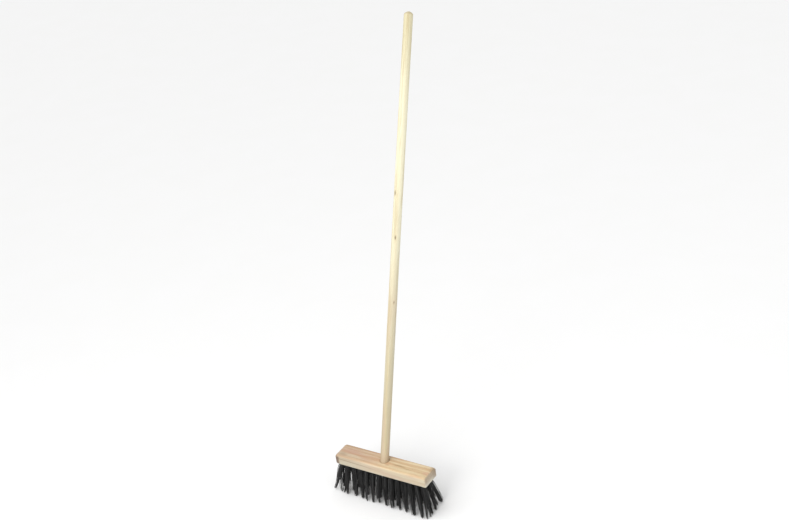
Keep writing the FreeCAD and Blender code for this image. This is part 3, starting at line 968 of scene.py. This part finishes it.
class Bundle:
    """One tuft: its random character, drawn in a fixed order, and the run of its legs."""

    def __init__(self, node):
        row, place, self.root = tuft_root(node)
        self.rng = rng = np.random.default_rng(ROWS[row].seed + int(round((place + 7) * 2)))
        targets = [Vector((x * MM, y * MM, 0)) for x, y in tip_targets(row, place, rng)]
        self.points = [Point(at, 1.0, rng.uniform(0, 2.0)) for at in targets]
        # some bundles part into two points, the second one shorter
        if len(self.points) == 1 and rng.random() < 0.42:
            angle = rng.uniform(0, 2 * math.pi)
            offset = Vector((math.cos(angle), 0.8 * math.sin(angle), 0))
            offset = offset * rng.uniform(3.5, 6.0) * MM
            self.points.append(Point(targets[0] + offset, 0.45, rng.uniform(6, 20)))
        self.middle = sum((p.at for p in self.points), Vector()) / len(self.points)
        self.width = ROWS[row].width * rng.uniform(0.9, 1.1)
        if place < -3 and row == "front":
            self.width *= 1.16
        self.loose = rng.uniform(0.7, 1.35)  # how far the filament tips stand apart
        # the belly of a bundle is never centred
        self.belly = Vector((rng.uniform(-1, 1), rng.uniform(-1, 1), 0)) * 1.3 * MM
        self.phase = rng.uniform(0, 2 * math.pi)
        # where across the hole the painted highlight streak lies
        self.streak = 0.45 * math.sin(2.4 * place + 1.3 * self.root.y / MM)
        self.fold = Fold(4.05, 0.0, 0.56) if is_shallow(row, place) else Fold(10.27, 0.45, 0.60)

    def choose_point(self, start):
        """A filament mostly goes to the point on its own side of the bundle."""
        scores = []
        for i, point in enumerate(self.points):
            score = -0.15
            if i:
                apart = (point.at - self.points[0].at).normalized()
                score = apart.dot(-start.normalized())
            scores.append(score + self.rng.uniform(-0.25, 0.25) - point.weight * 0.1)
        return self.points[scores.index(min(scores))]

    def leg_tip(self, start, point):
        """The end of a leg that leaves the hole at start, an offset from its centre."""
        rng = self.rng
        stray = rng.random() < 0.06
        spread = self.loose * (0.8 + 0.9 * rng.random()) / len(self.points) ** 0.5
        tip = point.at + Vector((start.x * 1.1, start.y * 0.9, 0)) * spread
        tip += Vector((rng.normal(0, 0.6), rng.normal(0, 0.6), 0)) * MM
        # the outer filaments stop short, so the bundle ends in a ragged point
        outness = start.length / ROOT_R
        height = (point.shorter + max(0.0, rng.normal(0.3, 1.5))
                  + 9.0 * outness ** 2 * rng.uniform(0.0, 1.0) ** 1.3) * MM
        if stray:
            angle = rng.uniform(0, 2 * math.pi)
            tip += Vector((math.cos(angle), math.sin(angle), 0)) * rng.uniform(2.5, 6.5) * MM
            height += rng.uniform(0, 12) * MM
        if rng.random() < 0.07:
            height += rng.uniform(10, 30) * MM
        tip.z = min(max(height, 0.35 * MM), 46 * MM)
        return tip

    def leg(self, start):
        """One leg from the mouth of the hole to its tip: a list of (point, t)."""
        point = self.choose_point(start)
        tip = self.leg_tip(start, point)
        mouth = self.root + start
        # the tip slides back along the lean when it is cut shorter
        share = (Z_UNDER - tip.z) / Z_UNDER
        end = mouth + (tip - mouth) * (0.35 + 0.65 * share)
        end.z = tip.z
        part = point.at - self.middle
        bulge = self.rng.uniform(0.75, 1.25)
        wave_x, wave_y = self.rng.uniform(0, 2 * math.pi, 2)
        wave = self.rng.uniform(0.2, 0.95) * MM
        points = []
        for n in range(SEGMENTS):
            t = (n / (SEGMENTS - 1)) ** 1.25
            line = mouth.lerp(end, t)
            root_t = t ** 0.50
            swell = bulge * (4 * root_t * (1 - root_t)) ** 1.15
            p = line + Vector((start.x * self.width, start.y * 0.90, 0)) * swell
            p += self.belly * (4 * t * (1 - t)) ** 1.5
            p -= part * (t - t ** 3.2) * 0.9
            sway = Vector((math.sin(wave_x + 5.2 * t), math.cos(wave_y + 4.3 * t), 0))
            p += sway * wave * math.sin(math.pi * min(1, t * 0.9))
            p.z = line.z
            points.append((p, t))
        return points

    def filament(self, x, y):
        """The path of a folded filament, tip to tip: a list of (point, t)."""
        back_x = x * self.rng.uniform(0.85, 1.0)
        front, back = self.leg(Vector((x, -y, 0))), self.leg(Vector((back_x, y, 0)))
        arch = 0.9 * MM + self.fold.lift * (y - FOLD_HALF)
        over = []
        for n in range(FOLD_STEPS + 1):
            angle = math.pi * n / FOLD_STEPS
            offset = Vector((x + (back_x - x) * n / FOLD_STEPS, -y * math.cos(angle),
                             self.fold.height * MM + arch * math.sin(angle)))
            over.append((self.root + offset, 0.0))
        return front[::-1] + over + back


def add_tube(verts, faces, path, radius, squeeze, spin):
    """A closed tube, squeezed in the hole and slightly pinched at the cut ends."""
    base, last = len(verts), len(path) - 1
    for n, (p, t) in enumerate(path):
        along = (path[min(n + 1, last)][0] - path[max(n - 1, 0)][0]).normalized()
        u = along.cross(Vector((1, 0, 0))).normalized()
        v = along.cross(u)
        thin = 0.93 if n in (0, last) else (1.0 if t > 0 else squeeze)
        for i in range(SIDES):
            angle = 2 * math.pi * (i + spin) / SIDES
            verts.append(p + u * (math.cos(angle) * radius * thin)
                         + v * (math.sin(angle) * radius * thin))
    for n in range(last):
        for i in range(SIDES):
            a, b = base + n * SIDES + i, base + n * SIDES + (i + 1) % SIDES
            faces.append((a, a + SIDES, b + SIDES, b))
    faces.append(tuple(base + i for i in range(SIDES)))
    faces.append(tuple(base + last * SIDES + i for i in reversed(range(SIDES))))


def make_tuft(node):
    bundle = Bundle(node)
    rng = bundle.rng
    verts, faces, tone_and_glint_values, runs = [], [], [], []
    for x, y in leg_places(bundle.phase):
        path = bundle.filament(x, y)
        # painted highlight: filaments from one side of the hole lie together and are painted
        # lighter as one streak
        painted_glint = 0.62 * math.exp(-((x / ROOT_R - bundle.streak) / 0.26) ** 2)
        tone = float(np.clip(rng.normal(0.20, 0.17) + painted_glint, 0, 1))
        radius = FILAMENT_R * rng.uniform(0.9, 1.1)
        add_tube(verts, faces, path, radius, bundle.fold.squeeze, spin=rng.uniform(0, 1))
        tone_and_glint_values += [tone] * (len(path) * SIDES)
        runs += [t for _, t in path for _ in range(SIDES)]
    ob = new_piece("bristles_" + node[5:], verts, faces, MAT_BRISTLE,
                   {"tone": ("FLOAT", tone_and_glint_values), "run": ("FLOAT", runs)})
    soften(ob, crease=50)
    register(ob, node)


make_stock()
make_handle()
for tuft_node in TUFT_NODES:
    make_tuft(tuft_node)
assign(NODES["handle_screw"], MAT_STEEL)
assign(NODES["tuft_anchors"], MAT_WIRE)


# ------------------------------------------------------------------ floor, light, camera
FLOOR_Z = -0.0003
FLOOR_RADII = (0.5, 1.0, 2.0, 4.0, 8.0, 16.0, 40.0, 120.0)
FLOOR_SIDES = 64


def floor_material():
    m = Shader("pale_floor")
    cloud = m.remap(m.noise(m.position(), scale=6.0), span=(0.3, 0.7))
    m.set(Base_Color=m.mix(cloud, (0.925, 0.925, 0.922), (0.93, 0.93, 0.93)),
          Roughness=0.95, Specular_IOR_Level=0.05)
    return m.material


def stage_floor():
    material = floor_material()
    bm = bmesh.new()
    turns = [2 * math.pi * i / FLOOR_SIDES for i in range(FLOOR_SIDES)]
    rings = [[bm.verts.new((r * math.cos(a), r * math.sin(a), FLOOR_Z)) for a in turns]
             for r in FLOOR_RADII]
    bm.faces.new(rings[0])
    for inner, outer in zip(rings, rings[1:]):
        for i in range(FLOOR_SIDES):
            j = (i + 1) % FLOOR_SIDES
            bm.faces.new([inner[i], outer[i], outer[j], inner[j]])
    ob = object_from(bm, "studio_floor")
    ob.data.shade_smooth()
    ob.data.materials.append(material)


def aim(ob, direction):
    ob.rotation_euler = direction.to_track_quat("-Z", "Y").to_euler()


def area(name, at, target, size, power, tint):
    data = bpy.data.lights.new(name, "AREA")
    data.shape = "RECTANGLE"
    data.size, data.size_y = size
    data.energy = power
    data.color = tint
    ob = link(name, data)
    ob.location = at
    aim(ob, Vector(target) - Vector(at))


def soft_sky():
    data = bpy.data.lights.new("soft_sky", "SUN")
    data.energy = 1.46
    data.angle = math.radians(75.0)
    aim(link("soft_sky", data), Vector((0.30, 0.50, -1.0)))


def studio_world(light_level, seen_level):
    """An even white room, brighter where the camera sees it beyond the floor."""
    world = bpy.data.worlds.new("studio")
    bpy.context.scene.world = world
    world.use_nodes = True
    tree = world.node_tree
    background = tree.nodes["Background"]
    background.inputs[0].default_value = (1.0, 1.0, 1.0, 1.0)
    path = tree.nodes.new("ShaderNodeLightPath")
    level = tree.nodes.new("ShaderNodeMapRange")
    level.inputs[3].default_value = light_level
    level.inputs[4].default_value = seen_level
    tree.links.new(path.outputs["Is Camera Ray"], level.inputs[0])
    tree.links.new(level.outputs[0], background.inputs[1])


def place_camera(at, forward, up_hint, lens):
    forward = forward.normalized()
    right = forward.cross(up_hint).normalized()
    up = right.cross(forward).normalized()
    data = bpy.data.cameras.new("camera")
    data.sensor_fit = "HORIZONTAL"
    data.sensor_width = 36.0
    data.lens = lens
    data.clip_end = 60.0
    ob = link("camera", data)
    turn = Matrix((right, up, -forward)).transposed().to_4x4()
    ob.matrix_world = Matrix.Translation(at) @ turn
    bpy.context.scene.camera = ob


stage_floor()
area("key", at=(0.15, -2.35, 1.5), target=(0, 0.25, 0.85), size=(1.1, 1.1), power=23.0,
     tint=(1.0, 0.99, 0.965))
area("fill", at=(3.2, -0.6, 2.0), target=(0, 0.1, 0.4), size=(2.4, 2.0), power=12.0,
     tint=(0.93, 0.97, 1.0))
soft_sky()
studio_world(light_level=0.58, seen_level=0.95)
bpy.context.scene.view_settings.view_transform = "Standard"
bpy.context.scene.view_settings.look = "None"
place_camera(at=Vector((1.6845, -2.2140, 2.0606 + Z_UNDER)),
             forward=Vector((-0.5118, 0.72732, -0.45724)),
             up_hint=Vector((-0.14737, 0.45001, 0.88078)), lens=57.047909)
